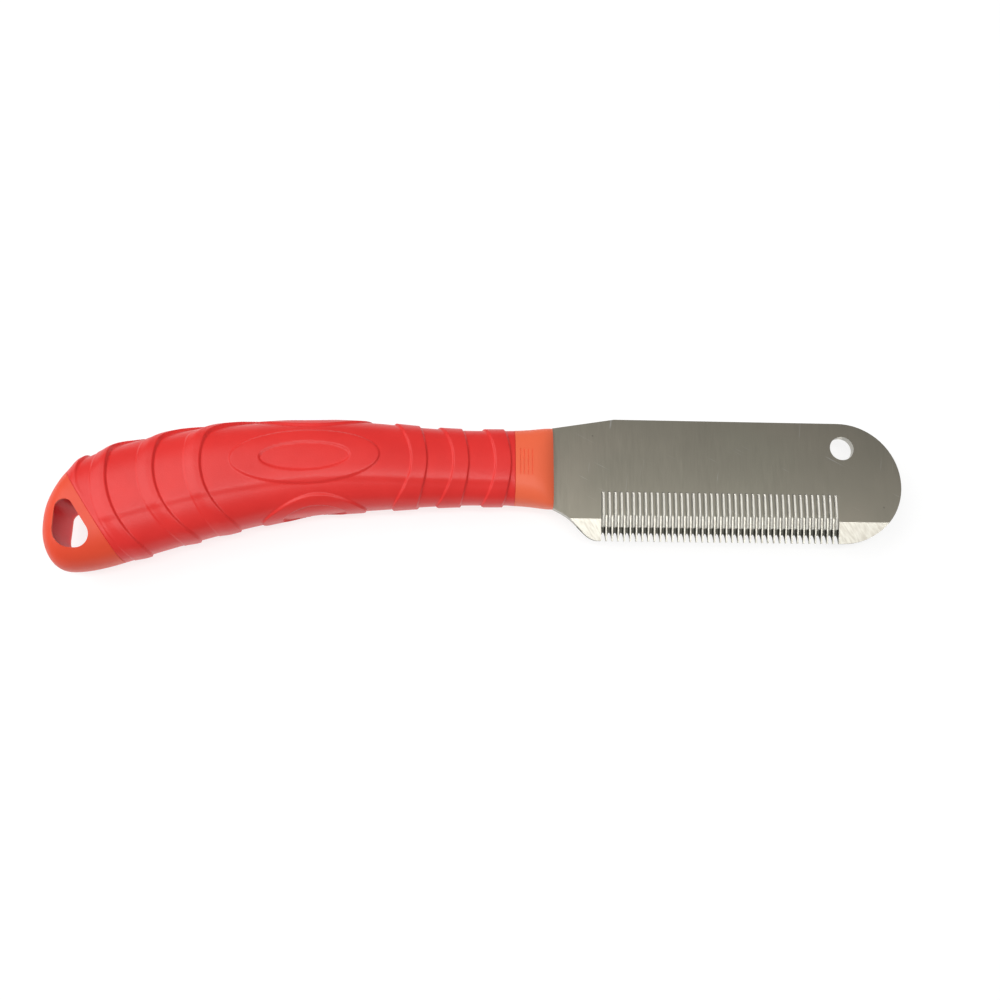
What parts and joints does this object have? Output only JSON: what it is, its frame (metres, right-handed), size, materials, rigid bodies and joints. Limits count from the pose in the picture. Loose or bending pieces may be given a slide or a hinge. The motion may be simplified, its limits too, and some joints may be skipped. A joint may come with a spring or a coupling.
{
  "type": "dematting comb",
  "caption": "Pet dematting comb: a flat steel blade with a grooved, toothed edge, ground bevel and round nose, moulded into a curved handle with a soft ribbed grip and a lined hang hole.",
  "frame": {"origin": "centre of the comb's footprint, on the surface that it lies on", "axes": "+X from the handle's butt to the blade's nose, +Y from the toothed edge to the blade's back, +Z out of the blade's ground face"},
  "size_m": [0.2096, 0.04, 0.0181],
  "materials": {
    "blade_steel": "satin stainless, fine linear grain, bright ground bevel and groove walls",
    "core_plastic": "semi-matt moulded orange polypropylene",
    "grip_rubber": "fine matt moulded red thermoplastic rubber",
    "liner_rubber": "matt moulded deep red thermoplastic rubber"
  },
  "bodies": {
    "root": {"blade": "blade_steel", "handle_core": "core_plastic", "grip": "grip_rubber", "hang_hole_liner": "liner_rubber"}
  },
  "joints": []
}
